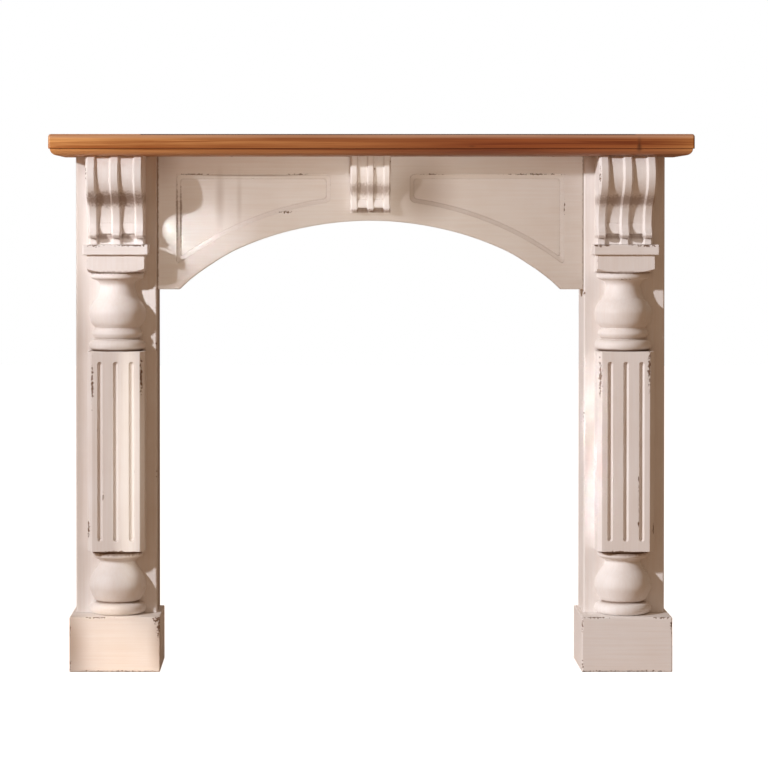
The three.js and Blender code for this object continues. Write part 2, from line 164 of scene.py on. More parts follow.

# Painted shade under the brackets' bellies and feet, under the turnings' discs, on the left pilaster's
# inner return and along the frieze's joints and panel borders, with some brown grime at the discs,
# as middle and reach in mm and strength
SHADE_AND_GLAZE = {
    "corbel_left": (((0, -60, 1013), (150, 160, 22), 0.75), ((0, -30, 932), (150, 90, 6), 0.5)),
    "corbel_right": (((0, -60, 1010), (150, 160, 18), 0.6), ((0, -30, 932), (150, 90, 6), 0.5)),
    "corbel_centre": (((0, -30, 1034), (110, 90, 20), 0.6), ((0, -25, 988), (110, 90, 7), 0.6)),
    "half_column_left": (((0, -40, 251), (110, 120, 7), 0.8), ((0, -30, 856), (110, 90, 5), 0.6)),
    "half_column_right": (((0, -40, 251), (110, 120, 7), 0.7), ((0, -30, 856), (110, 90, 5), 0.6)),
    "pilaster_inner_return_left": (((-462, 60, 600), (60, 200, 1800), 0.6),),
    "frieze": (((-461, 6.5, 960), (4, 60, 500), 0.9), ((461, 6.5, 960), (3, 60, 500), 0.6),
               ((-418.5, 8, 983), (3.5, 30, 86), 0.7), ((-410.5, 14, 983), (3.5, 30, 78), 0.7),
               ((-253, 9, 1065), (168, 30, 3), 0.6)),
}


def linear(code):
    """The linear colour of an sRGB hex value"""
    channels = [int(code[at:at + 2], 16) / 255 for at in (1, 3, 5)]
    return [c / 12.92 if c <= 0.04045 else ((c + 0.055) / 1.055) ** 2.4 for c in channels]


def length(name, description, millimetres):
    """A size that a user may change, held in metres"""
    return FloatProperty(name=name, description=description, default=millimetres * MM, min=0,
                         unit="LENGTH", subtype="DISTANCE", precision=4)


def colour(name, description, code):
    """A colour that a user may change"""
    return FloatVectorProperty(name=name, description=description, default=linear(code), size=3,
                               min=0, max=1, subtype="COLOR")


def share(name, description, value, most=1):
    """A plain factor that a user may change"""
    return FloatProperty(name=name, description=description, default=value, min=0, max=most,
                         subtype="FACTOR")


class MantelSizes(PropertyGroup):
    """Sizes of the mouldings, turnings and carved pieces"""

    shelf_round: length("Top round", "Radius of the shelf's top arris", 6)
    shelf_quirk: length("Quirk", "Set-back of the ovolo under the shelf's face", 3.5)
    shelf_ovolo: length("Ovolo", "Radius of the moulding under the shelf's face", 14)
    shelf_corner: length("Shelf corner", "Radius of the shelf's front corners in plan", 5)
    arch_rise: length("Arch rise", "Height of the arch over its springing", 148.5)
    shoulder: length("Shoulder", "Flat between the arch's foot and the pilaster", 49.2)
    arch_arris: length("Arch arris", "Rounding of the arch's front edge", 3)
    panel_stile: length("Panel stile", "From the frieze's end to its panel", 41.7)
    panel_top_rail: length("Panel top rail", "From the shelf to the panel", 38.7)
    panel_arch_rail: length("Panel arch rail", "From the arch to the panel", 45.5)
    panel_from_middle: length("Panel from middle", "From the middle line to the panel", 85.6)
    panel_sink: length("Panel sink", "Depth of the panel's floor", 9)
    panel_slope: length("Panel slope", "Width of the panel's sloped border", 9)
    panel_corner: length("Panel corner", "Size of the panel floor's corners", 8)
    face_arris: length("Pilaster arris", "Easing of the pilaster's front edges", 4)
    plinth_arris: length("Plinth arris", "Easing of the plinth's edges", 2)
    lower_turning: length("Lower turning", "Height from the plinth to the fluted block", 138.5)
    fluted_block: length("Fluted block", "Height of the square fluted block", 430)
    upper_turning: length("Upper turning", "Height from the fluted block to the capital", 169.3)
    block_chamfer: length("Block chamfer", "Chamfer of the fluted block's front corners", 10)
    flute_width: length("Flute width", "Width of each flute", 11.3)
    flute_pitch: length("Flute pitch", "Distance between the flutes", 33.8)
    flute_margin: length("Flute margin", "From the block's ends to the flutes", 22)
    impost_arris: length("Impost arris", "Easing of the slab's edges", 2)
    turning_steps: IntProperty(name="Turning steps", description="Facets of a half turning",
                               default=72, min=12, max=180)


class PaintFinish(PropertyGroup):
    """Chalk paint, its brush marks, its wear, its grime and its painted shade"""

    light: colour("Paint", "Colour of the paint where it is thick", "#F2EDE9")
    deep: colour("Thin paint", "Colour where the paint is thin between brush marks", "#E9DED5")
    # Colour of the grime and of the painted shade in grooves, under bellies and along joints; it also streaks
    # the bare wood
    grime_and_shade: colour("Grime", "Colour that has gathered in grooves", "#84634A")
    # Colour of the painted shade and of the soft darker tone bands
    shade_and_soil: colour("Soiled paint", "Colour of the soft darker places", "#B39F8E")
    timber: colour("Bare timber", "Colour of the wood where the paint is gone", "#6B5648")
    rub: share("Rubbed edges", "How much of the edges is rubbed through", 0.36)
    roughness: share("Roughness", "Roughness of the dry paint", 0.58)


class PineFinish(PropertyGroup):
    """Oiled pine with soft streaks"""

    early: colour("Pale wood", "Colour between the streaks", "#FFBB70")
    late: colour("Dark wood", "Colour of the streaks", "#B66928")
    browning: colour("Browning", "Colour that deepens the board towards its middle", "#8E4A08")
    # Also colours the painted shadow line in the quirk and the dark line on the top arris
    knot: colour("Knots", "Colour of the knots", "#4A2710")
    # Also the painted highlight along the top arris, and the dust on the ovolo
    worn: colour("Worn arris", "Colour of the worn top edge", "#D2AA8E")
    roughness: share("Roughness", "Roughness of the oiled wood", 0.46)


class StudioLight(PropertyGroup):
    """Floor, lamp and fill"""

    floor: colour("Floor", "Colour that the floor throws back at the piece", "#B59A80")
    fill: colour("Fill", "Colour of the light from all sides", "#FFDDBF")
    fill_strength: share("Fill strength", "Strength of the light from all sides", 0.29, 5)
    lamp: colour("Lamp", "Colour of the lamp", "#F6F8FF")
    warm: colour("Warm lamp", "Colour of the warm pool and beam", "#FFE9CE")
    cool: colour("Glow", "Colour of the light thrown back at the frieze", "#FFFDF4")
    lamp_power: FloatProperty(name="Lamp power", description="Power of the lamp", default=10.6,
                              min=0, unit="POWER")
    pool_power: FloatProperty(name="Pool power", description="Power of the spots on the left column",
                              default=220, min=0, unit="POWER")
    glow_power: FloatProperty(name="Glow power", description="Power of the light thrown back at the frieze",
                              default=145, min=0, unit="POWER")
    slot_power: FloatProperty(name="Slot power", description="Power of the narrow beam on the right column",
                              default=0.05, min=0, unit="POWER")
    lamp_size: length("Lamp size", "Width of the lamp's disc", 200)


# Outlines ---------------------------------------------------------------------------------

def smooth_line(points, steps):
    """A smooth curve through points in a plane, with the same tangents as in the solids"""
    line = [Vector((p[0], p[1], 0)) for p in points]
    drawn = [tuple(line[0].to_2d())]
    for at in range(len(line) - 1):
        before, start = line[max(at - 1, 0)], line[at]
        end, after = line[at + 1], line[min(at + 2, len(line) - 1)]
        curve = interpolate_bezier(start, start + (end - before) / 6, end - (after - start) / 6, end,
                                   steps + 1)
        drawn += [tuple(point.to_2d()) for point in curve[1:]]
    return drawn


def arc(centre, radius, start, end, steps):
    """Points on an arc, its angles in degrees"""
    angles = [math.radians(start + (end - start) * k / steps) for k in range(steps + 1)]
    return [(centre[0] + radius * math.cos(a), centre[1] + radius * math.sin(a)) for a in angles]


def bend(start, corner, end, steps):
    """A rounded corner between two points"""
    points = []
    for k in range(steps + 1):
        t = k / steps
        points.append(tuple((1 - t) ** 2 * a + 2 * t * (1 - t) * b + t ** 2 * c
                            for a, b, c in zip(start, corner, end)))
    return points


# Mesh work --------------------------------------------------------------------------------

def closed_loop(bm, points):
    """Vertices joined in a ring"""
    verts = [bm.verts.new(point) for point in points]
    return [bm.edges.new((a, b)) for a, b in zip(verts, verts[1:] + verts[:1])]


def joined_loops(bm, rings, ends=("start", "end")):
    """Rings bridged in order, and filled at the ends named"""
    loops = [closed_loop(bm, points) for points in rings]
    for here, there in zip(loops, loops[1:]):
        bmesh.ops.bridge_loops(bm, edges=here + there)
    if "start" in ends:
        bmesh.ops.contextual_create(bm, geom=loops[0])
    if "end" in ends:
        bmesh.ops.contextual_create(bm, geom=loops[-1])
    return loops


def block(low, high):
    """A rectangular block between two corners"""
    bm = bmesh.new()
    bmesh.ops.create_cube(bm, size=1)
    bmesh.ops.scale(bm, vec=high - low, verts=bm.verts)
    bmesh.ops.translate(bm, vec=(low + high) / 2, verts=bm.verts)
    return bm


def eased(bm, edges, size, segments=3):
    """Edges rounded by a small bevel"""
    bmesh.ops.bevel(bm, geom=edges, offset=size, offset_type="OFFSET", segments=segments,
                    profile=0.5, affect="EDGES", clamp_overlap=True, material=-1)


def sliced(bm, axis, step):
    """Cut across along one axis, so that the surface can follow its wear"""
    reach = [vert.co[axis] for vert in bm.verts]
    low, high = min(reach), max(reach)
    across = Vector([float(k == axis) for k in range(3)])
    count = int((high - low) / step)
    for k in range(1, count):
        where = across * (low + (high - low) * k / count)
        bmesh.ops.bisect_plane(bm, geom=bm.verts[:] + bm.edges[:] + bm.faces[:], dist=1e-6,
                               plane_co=where, plane_no=across)


def placed(name, data):
    """An object in the scene, at the origin"""
    held = bpy.data.objects.new(name, data)
    bpy.context.scene.collection.objects.link(held)
    return held


def front_face(bm):
    """The largest face that looks into the room"""
    bm.normal_update()
    facing = [face for face in bm.faces if face.normal.y < -0.99]
    return max(facing, key=lambda face: face.calc_area())


def opened_front(bm, holes):
    """The front face filled again around the holes' edges"""
    face = front_face(bm)
    rim = list(face.edges)
    bmesh.ops.delete(bm, geom=[face], context="FACES_ONLY")
    bmesh.ops.triangle_fill(bm, edges=rim + holes, use_beauty=True, use_dissolve=False,
                            normal=(0, -1, 0))


def turned(outline, steps):
    """A half turning: radius and height spun about Z on the room side, and closed at the back"""
    bm = bmesh.new()
    verts = [bm.verts.new((radius, 0, z)) for radius, z in outline]
    edges = [bm.edges.new(pair) for pair in zip(verts, verts[1:])]
    bmesh.ops.spin(bm, geom=verts + edges, cent=(0, 0, 0), axis=(0, 0, 1), dvec=(0, 0, 0),
                   angle=-math.pi, steps=steps)
    bmesh.ops.remove_doubles(bm, verts=bm.verts, dist=1e-6)
    bmesh.ops.bisect_plane(bm, geom=bm.verts[:] + bm.edges[:] + bm.faces[:], dist=1e-7,
                           plane_co=(0, -GAP, 0), plane_no=(0, 1, 0), clear_outer=True)
    bmesh.ops.holes_fill(bm, edges=[e for e in bm.edges if e.is_boundary], sides=0)
    bmesh.ops.recalc_face_normals(bm, faces=bm.faces)
    return bm


def combined(shells, operation="UNION"):
    """Closed shells made one, or cut down to what they share"""
    pieces = []
    for shell in shells:
        mesh = bpy.data.meshes.new("shell")
        shell.to_mesh(mesh)
        shell.free()
        pieces.append(placed("shell", mesh))
    first, *others = pieces
    for other in others:
        step = first.modifiers.new("join", "BOOLEAN")
        step.operation = operation
        step.solver = "EXACT"
        step.object = other
    whole = first.evaluated_get(bpy.context.evaluated_depsgraph_get()).to_mesh()
    bm = bmesh.new()
    bm.from_mesh(whole)
    for piece in pieces:
        bpy.data.meshes.remove(piece.data)
    return bm


def chipped(bm, node, depth):
    """The surface let in where the paint is worn through"""
    bm.normal_update()
    worn = places(WEAR, node)
    for vert in bm.verts:
        near = max((1.1 - Vector([(a - b) / c for a, b, c in zip(vert.co, middle, reach)]).length
                    for middle, reach in worn), default=0)
        if near > 0:
            grit = 0.7 + 0.5 * noise.noise(vert.co / (3 * MM))
            vert.co -= vert.normal * depth * min(1, 1.6 * near) * grit


def places(table, node):
    """A piece's places in metres, where the piece stands"""
    shift = 0
    if node.startswith(("half_column", "impost", "corbel")):
        low, high = BOXES[node]
        shift = (low.x + high.x) / 2
    return [(Vector(middle) * MM + Vector((shift, 0, 0)), Vector(reach) * MM, *more)
            for middle, reach, *more in table.get(node, ())]


def dressed(node, bm, material):
    """The finished mesh as the piece that stands for its solid"""
    bmesh.ops.recalc_face_normals(bm, faces=bm.faces)
    mesh = bpy.data.meshes.new(node + "_dressed")
    bm.to_mesh(mesh)
    bm.free()
    mesh.shade_smooth()
    mesh.set_sharp_from_angle(angle=math.radians(32))
    mesh.materials.append(material)
    piece = placed(node + "_dressed", mesh)
    weighted = piece.modifiers.new("flat faces stay flat", "WEIGHTED_NORMAL")
    weighted.keep_sharp = True
    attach(piece, "root")
    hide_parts(node)
    return piece


# Materials --------------------------------------------------------------------------------

def added(tree, kind, sockets=None, **settings):
    """One shader node with its settings, and its sockets set or linked"""
    made = tree.nodes.new("ShaderNode" + kind)
    for name, value in settings.items():
        setattr(made, name, value)
    for name, value in (sockets or {}).items():
        if isinstance(value, bpy.types.NodeSocket):
            tree.links.new(value, made.inputs[name])
        else:
            made.inputs[name].default_value = value
    return made.outputs


def new_material(name):
    """A material with an empty tree, and its object coordinates"""
    material = bpy.data.materials.new(name)
    material.use_nodes = True
    tree = material.node_tree
    tree.nodes.clear()
    return material, tree, added(tree, "TexCoord")["Object"]


def distance_from(tree, place, middle, reach):
    """Distance from a place, where 1 is its reach"""
    sizes = [1 / r for r in reach]
    inside = added(tree, "Mapping", {
        "Vector": place, "Scale": sizes, "Location": [-m * s for m, s in zip(middle, sizes)],
    })[0]
    return added(tree, "VectorMath", {0: inside}, operation="LENGTH")["Value"]


def brushed_paint(context, node, grain, hollow):
    """Chalk paint brushed over stained pine. It looks dry and milky, with faint brush marks along the
    grain, brown grime and painted shade in its grooves, painted shade where shadows fall, and brown
    wood where edges have been rubbed."""
    finish = context.scene.mantel_paint
    light, deep, grime_and_shade, shade_and_soil, timber = (
        (*tint, 1) for tint in (finish.light, finish.deep, finish.grime_and_shade, finish.shade_and_soil, finish.timber))
    material, tree, place = new_material("Chalk paint on pine, " + node)

    # Brush marks 5 mm apart, drawn wider than the real bristle marks of 1 mm so that they show
    across, along = 1 / (5 * MM), 1 / (160 * MM)
    spread = [along if k == grain else across for k in range(3)]
    stroke_place = added(tree, "Mapping", {"Vector": place, "Scale": spread})[0]
    strokes = added(tree, "TexNoise", {
        "Vector": stroke_place, "Scale": 1.0, "Detail": 3.0, "Roughness": 0.6})["Fac"]
    # Uneven coats, about 90 mm across
    coats = added(tree, "TexNoise", {"Vector": place, "Scale": 11.0, "Detail": 2.0})["Fac"]
    both = added(tree, "Math", {0: strokes, 1: coats}, operation="ADD")[0]
    thin = added(tree, "MapRange", {"Value": both, "From Min": 0.7, "From Max": 1.6})[0]
    paint = added(tree, "Mix", {0: thin, 6: light, 7: deep}, data_type="RGBA")[2]

    # Painted shade and soft tone bands, then painted shade and brown grime in the carving, streaked
    # along the strokes
    for table, tint, streaking, rim, core in ((SHADE_AND_SOIL, shade_and_soil, 0.0, 1.0, 0.0), (SHADE_AND_GLAZE, grime_and_shade, 1.2, 1.6, 0.8)):
        for middle, reach, strength in places(table, node):
            streaked = added(tree, "Math", {
                0: strokes, 1: streaking, 2: distance_from(tree, place, middle, reach),
            }, operation="MULTIPLY_ADD")[0]
            cover = added(tree, "MapRange", {
                "Value": streaked, "From Min": rim, "From Max": core, "To Max": strength,
            }, interpolation_type="SMOOTHSTEP")[0]
            paint = added(tree, "Mix", {0: cover, 6: paint, 7: tint}, data_type="RGBA")[2]

    # Grime and painted shade where surfaces of the piece meet and shut out the light
    open_share = added(tree, "AmbientOcclusion", {"Distance": hollow}, samples=6, only_local=True)["AO"]
    shut = added(tree, "MapRange", {
        "Value": open_share, "From Min": 0.74, "From Max": 0.3, "To Max": 0.85})[0]
    grimy_and_shaded = added(tree, "Mix", {0: shut, 6: paint, 7: grime_and_shade}, data_type="RGBA")[2]

    # Rubbed edges: where the rounded normal turns away from the true one, in patches 20 mm long
    rounded = added(tree, "Bevel", {"Radius": 1.6 * MM}, samples=4)[0]
    true_normal = added(tree, "NewGeometry")["Normal"]
    turn = added(tree, "VectorMath", {0: rounded, 1: true_normal}, operation="DOT_PRODUCT")["Value"]
    edge = added(tree, "MapRange", {"Value": turn, "From Min": 0.985, "From Max": 0.9})[0]
    patch = added(tree, "TexNoise", {
        "Vector": place, "Scale": 55.0, "Detail": 4.0, "Roughness": 0.65})["Fac"]
    patch_share = added(tree, "MapRange", {
        "Value": patch, "From Min": 0.98 - finish.rub, "From Max": 1.06 - finish.rub})[0]
    rubbed = added(tree, "Math", {0: edge, 1: patch_share}, operation="MULTIPLY")[0]

    # Places worn right through, with torn rims
    flakes = added(tree, "TexNoise", {"Vector": place, "Scale": 260.0, "Detail": 3.0})["Fac"]
    for middle, reach in places(WEAR, node):
        torn = added(tree, "Math", {
            0: flakes, 1: 5.0, 2: distance_from(tree, place, middle, reach),
        }, operation="MULTIPLY_ADD")[0]
        worn = added(tree, "MapRange", {"Value": torn, "From Min": 3.4, "From Max": 3.15})[0]
        rubbed = added(tree, "Math", {0: rubbed, 1: worn}, operation="MAXIMUM")[0]

    fibre = added(tree, "Mix", {0: strokes, 6: timber, 7: grime_and_shade}, data_type="RGBA")[2]
    seen = added(tree, "Mix", {0: rubbed, 6: grimy_and_shaded, 7: fibre}, data_type="RGBA")[2]
    height = added(tree, "Math", {0: rubbed, 1: -1.6, 2: strokes}, operation="MULTIPLY_ADD")[0]
    relief = added(tree, "Bump", {"Height": height, "Distance": 0.35 * MM, "Strength": 0.55})[0]
    shader = added(tree, "BsdfPrincipled", {
        "Base Color": seen, "Roughness": finish.roughness, "IOR": 1.47, "Normal": relief})[0]
    added(tree, "OutputMaterial", {"Surface": shader})
    return material


def oiled_pine(context):
    """Oiled pine board. It shows soft streaks along its length over fine fibres, a split brown knot
    near its right end, a silky low gloss, dust on its ovolo, a painted shadow line in its quirk, a paler
    band along its top edge that is part wear and part painted highlight, and a dark line on the top arris."""
    finish = context.scene.mantel_pine
    early, late, browning, knot_and_shadow_tint, dust_and_highlight = (
        (*tint, 1) for tint in (finish.early, finish.late, finish.browning, finish.knot, finish.worn))
    low, high = BOXES["shelf"]
    material, tree, place = new_material("Oiled pine")

    # Streaks 12 mm high and 600 mm long, and fibres 1.5 mm apart and 250 mm long
    streak_place = added(tree, "Mapping", {"Vector": place, "Scale": (1.7, 85, 85)})[0]
    streaks = added(tree, "TexNoise", {
        "Vector": streak_place, "Scale": 1.0, "Detail": 4.0, "Roughness": 0.6, "Distortion": 0.4})["Fac"]
    fibre_place = added(tree, "Mapping", {"Vector": place, "Scale": (4, 650, 650)})[0]
    fibre = added(tree, "TexNoise", {"Vector": fibre_place, "Scale": 1.0, "Detail": 3.0})["Fac"]
    both = added(tree, "Math", {0: fibre, 1: 0.35, 2: streaks}, operation="MULTIPLY_ADD")[0]
    dark = added(tree, "MapRange", {"Value": both, "From Min": 0.54, "From Max": 0.82})[0]
    wood = added(tree, "Mix", {0: dark, 6: early, 7: late}, data_type="RGBA")[2]

    # The board is browner towards its middle than at its left end
    here = added(tree, "SeparateXYZ", {0: place})
    ramp_place = added(tree, "MapRange", {"Value": here["X"], "From Min": low.x, "From Max": high.x})[0]
    deepening = added(tree, "FloatCurve", {"Value": ramp_place})[0]
    mapping = tree.nodes[-1].mapping
    curve = mapping.curves[0]
    curve.points[0].location = (0, 0)
    curve.points[1].location = (1, 0.35)
    for point in ((0.3, 0.4), (0.55, 0.7), (0.75, 0.86)):
        curve.points.new(*point)
    mapping.update()
    wood = added(tree, "Mix", {0: deepening, 6: wood, 7: browning}, data_type="RGBA",
                 blend_type="MULTIPLY")[2]

    # A knot split upright, and a faint one, their rims broken by the fibres
    covers = []
    for middle, reach, strength in (((0.568, low.y, 1.128), (6, 30, 18), 0.75),
                                    ((0.213, low.y, 1.125), (9, 20, 3), 0.45)):
        distance = distance_from(tree, place, middle, Vector(reach) * MM)
        ragged = added(tree, "Math", {0: streaks, 1: 2.4, 2: distance}, operation="MULTIPLY_ADD")[0]
        knot = added(tree, "MapRange", {
            "Value": ragged, "From Min": 2.2, "From Max": 1.3, "To Max": strength})[0]
        covers.append((knot, knot_and_shadow_tint))

    # Dust on the ovolo, and a painted shadow line in the quirk over it
    quirk = low.z + context.scene.mantel_sizes.shelf_ovolo
    dusty = added(tree, "MapRange", {
        "Value": here["Z"], "From Min": quirk, "From Max": low.z, "To Max": 0.3})[0]
    in_quirk = added(tree, "Math", {0: here["Z"], 1: quirk, 2: 1.0 * MM}, operation="COMPARE")[0]
    quirk_shadow = added(tree, "Math", {0: in_quirk, 1: 0.4}, operation="MULTIPLY")[0]

    # The paler band lies along the top arris of the front and the ends, part wear and part painted
    # highlight where the round catches the light, and a dark line lies on the arris itself, which stops
    # short of both ends
    width = added(tree, "Math", {0: here["X"]}, operation="ABSOLUTE")[0]
    high_up, near_front, near_end, arris_line_top = (
        added(tree, "MapRange", {"Value": value, "From Min": start, "From Max": end})[0]
        for value, start, end in (
            (here["Z"], high.z - 11 * MM, high.z - 5 * MM), (here["Y"], low.y + 10 * MM, low.y + 4 * MM),
            (width, high.x - 10 * MM, high.x - 4 * MM), (here["Z"], high.z - 2.4 * MM, high.z - 1.2 * MM)))
    patch = added(tree, "MapRange", {
        "Value": streaks, "From Min": 0.75, "From Max": 0.35, "To Max": 0.75})[0]
    rim = added(tree, "Math", {0: near_front, 1: near_end}, operation="MAXIMUM")[0]
    rim = added(tree, "Math", {0: rim, 1: high_up}, operation="MULTIPLY")[0]
    rim = added(tree, "Math", {0: rim, 1: patch}, operation="MULTIPLY")[0]
    arris_line_span = added(tree, "Math", {0: here["X"], 1: 0.035, 2: 0.525}, operation="COMPARE")[0]
    arris_line = added(tree, "Math", {0: arris_line_top, 1: arris_line_span}, operation="MULTIPLY")[0]
    arris_line = added(tree, "Math", {0: arris_line, 1: near_front}, operation="MULTIPLY")[0]
    for cover, tint in (*covers, (dusty, dust_and_highlight), (quirk_shadow, knot_and_shadow_tint), (rim, dust_and_highlight), (arris_line, knot_and_shadow_tint)):
        wood = added(tree, "Mix", {0: cover, 6: wood, 7: tint}, data_type="RGBA")[2]

    relief = added(tree, "Bump", {"Height": dark, "Distance": 0.2 * MM, "Strength": 0.4})[0]
    shader = added(tree, "BsdfPrincipled", {
        "Base Color": wood, "Roughness": finish.roughness, "IOR": 1.5, "Normal": relief})[0]
    added(tree, "OutputMaterial", {"Surface": shader})
    return material


# Pieces -----------------------------------------------------------------------------------

def painted(context, node, bm, depth, grain, hollow=9 * MM):
    """A piece with its chips let in to a depth, and its paint brushed along an axis"""
    chipped(bm, node, depth)
    dressed(node, bm, brushed_paint(context, node, grain, hollow))


class MANTEL_OT_shelf(Operator):
    """Build the pine shelf with its moulded front and ends"""

    bl_idname = "mantel.shelf"
    bl_label = "Shelf"

    def execute(self, context):
        sizes = context.scene.mantel_sizes
        low, high = BOXES["shelf"]
        foot = sizes.shelf_quirk + sizes.shelf_ovolo
        lip = 0.8 * MM
        profile = arc((-foot, low.z + sizes.shelf_ovolo), sizes.shelf_ovolo, -90, 0, 10)
        profile += arc((-lip, low.z + sizes.shelf_ovolo + lip), lip, -90, 0, 3)
        profile += arc((-sizes.shelf_round, high.z - sizes.shelf_round), sizes.shelf_round, 0, 90, 8)
        rings = []
        for out, z in profile:
            left, right, front = low.x - out, high.x + out, low.y - out
            corner = max(sizes.shelf_corner + out, lip)
            plan = arc((right - corner, front + corner), corner, 0, -90, 6)
            plan += arc((left + corner, front + corner), corner, -90, -180, 6)
            rings.append([(x, y, z) for x, y in [(right, high.y), *plan, (left, high.y)]])
        bm = bmesh.new()
        joined_loops(bm, rings)
        dressed("shelf", bm, oiled_pine(context))
        return {"FINISHED"}


class MANTEL_OT_frieze(Operator):
    """Build the arched frieze with its two sunk spandrel panels"""

    bl_idname = "mantel.frieze"
    bl_label = "Frieze"

    def execute(self, context):
        sizes = context.scene.mantel_sizes
        low, high = BOXES["frieze"]
        half = high.x
        arch_half, rise = half - sizes.shoulder, sizes.arch_rise
        radius = (arch_half ** 2 + rise ** 2) / (2 * rise)
        centre = low.z + rise - radius
        right = [(out * arch_half, low.z + up * rise) for out, up in ARCH_LINE]
        left = [(-x, z) for x, z in reversed(right[1:])]
        outline = [(half, high.z), (-half, high.z), (-half, low.z)]
        outline += smooth_line(left + right, 7)
        outline += [(half, low.z)]
        bm = bmesh.new()
        rim = closed_loop(bm, [(x, low.y, z) for x, z in outline])
        face = bmesh.ops.contextual_create(bm, geom=rim)["faces"][0]
        grown = bmesh.ops.extrude_face_region(bm, geom=[face], use_keep_orig=True)["geom"]
        verts = [item for item in grown if isinstance(item, bmesh.types.BMVert)]
        bmesh.ops.translate(bm, vec=(0, high.y - low.y, 0), verts=verts)
        bmesh.ops.recalc_face_normals(bm, faces=bm.faces)
        under = [edge for edge in bm.edges if all(
            abs(vert.co.y - low.y) < MM and vert.co.z < high.z - MM for vert in edge.verts
        ) and abs(edge.verts[0].co.x - edge.verts[1].co.x) > 1e-5]
        eased(bm, under, sizes.arch_arris, 4)

        # Border of a panel, as distance in from its rim and depth below the frieze's face
        slope, sink = sizes.panel_slope, sizes.panel_sink
        border = [(a * MM, b * MM) for a, b in ((-0.6, 0), (0, 0.2), (0.4, 0.9), (0.6, 2.7), (1.0, 3.0))]
        border += [(slope + a * MM, sink + b * MM)
                   for a, b in ((-1.0, -3.0), (-0.6, -2.7), (-0.4, -0.5), (0.2, 0))]
        holes = []
        for side in (-1, 1):
            rings = []
            for inset, depth in border:
                plan = self.panel(sizes, half, high.z, centre, radius, inset)
                rings.append([(side * x, low.y + depth, z) for x, z in plan])
            loops = joined_loops(bm, rings, ends=("end",))
            holes += loops[0]
        opened_front(bm, holes)
        dressed("frieze", bm, brushed_paint(context, "frieze", 0, 9 * MM))
        return {"FINISHED"}

    @staticmethod
    def panel(sizes, half, top, centre, arch_radius, inset):
        """Outline of the right panel, a distance in from its rim"""
        inner = sizes.panel_from_middle + inset
        outer = half - sizes.panel_stile - inset
        head = top - sizes.panel_top_rail - inset
        radius = arch_radius + sizes.panel_arch_rail + inset
        corner = sizes.panel_corner + 0.45 * (sizes.panel_slope - inset)
        inner_foot = centre + math.sqrt(radius ** 2 - inner ** 2)
        outer_foot = centre + math.sqrt(radius ** 2 - outer ** 2)
        turn = math.degrees(corner / radius)
        start = math.degrees(math.acos(outer / radius)) + turn
        end = math.degrees(math.acos(inner / radius)) - turn
        along = arc((0, centre), radius, start, end, 40)
        plan = bend((inner, head - corner), (inner, head), (inner + corner, head), 6)
        plan += bend((outer - corner, head), (outer, head), (outer, head - corner), 6)
        plan += bend((outer, outer_foot + corner), (outer, outer_foot), along[0], 6)
        plan += along[1:-1]
        plan += bend(along[-1], (inner, inner_foot), (inner, inner_foot + corner), 6)
        return plan


class MANTEL_OT_pilasters(Operator):
    """Build both pilasters, each a face board with two returns"""

    bl_idname = "mantel.pilasters"
    bl_label = "Pilasters"

    def execute(self, context):
        sizes = context.scene.mantel_sizes
        for side in SIDES:
            for name in ("pilaster_face_", "pilaster_inner_return_", "pilaster_outer_return_"):
                node = name + side
                low, high = BOXES[node]
                bm = block(low, high)
                upright = [edge for edge in bm.edges if edge.verts[0].co.y < low.y + MM
                           and edge.verts[1].co.y < low.y + MM
                           and abs(edge.verts[0].co.x - edge.verts[1].co.x) < MM]
                eased(bm, upright, sizes.face_arris if "face" in node else 0.6 * MM)
                sliced(bm, 2, 6 * MM)
                painted(context, node, bm, 0.5 * MM, 2)
        return {"FINISHED"}


class MANTEL_OT_plinths(Operator):
    """Build both plinths, their arrises chipped"""

    bl_idname = "mantel.plinths"
    bl_label = "Plinths"

    def execute(self, context):
        sizes = context.scene.mantel_sizes
        for side in SIDES:
            node = "plinth_" + side
            bm = block(*BOXES[node])
            eased(bm, bm.edges[:], sizes.plinth_arris)
            for axis in range(3):
                sliced(bm, axis, 3.2 * MM)
            painted(context, node, bm, 0.9 * MM, 0)
        return {"FINISHED"}


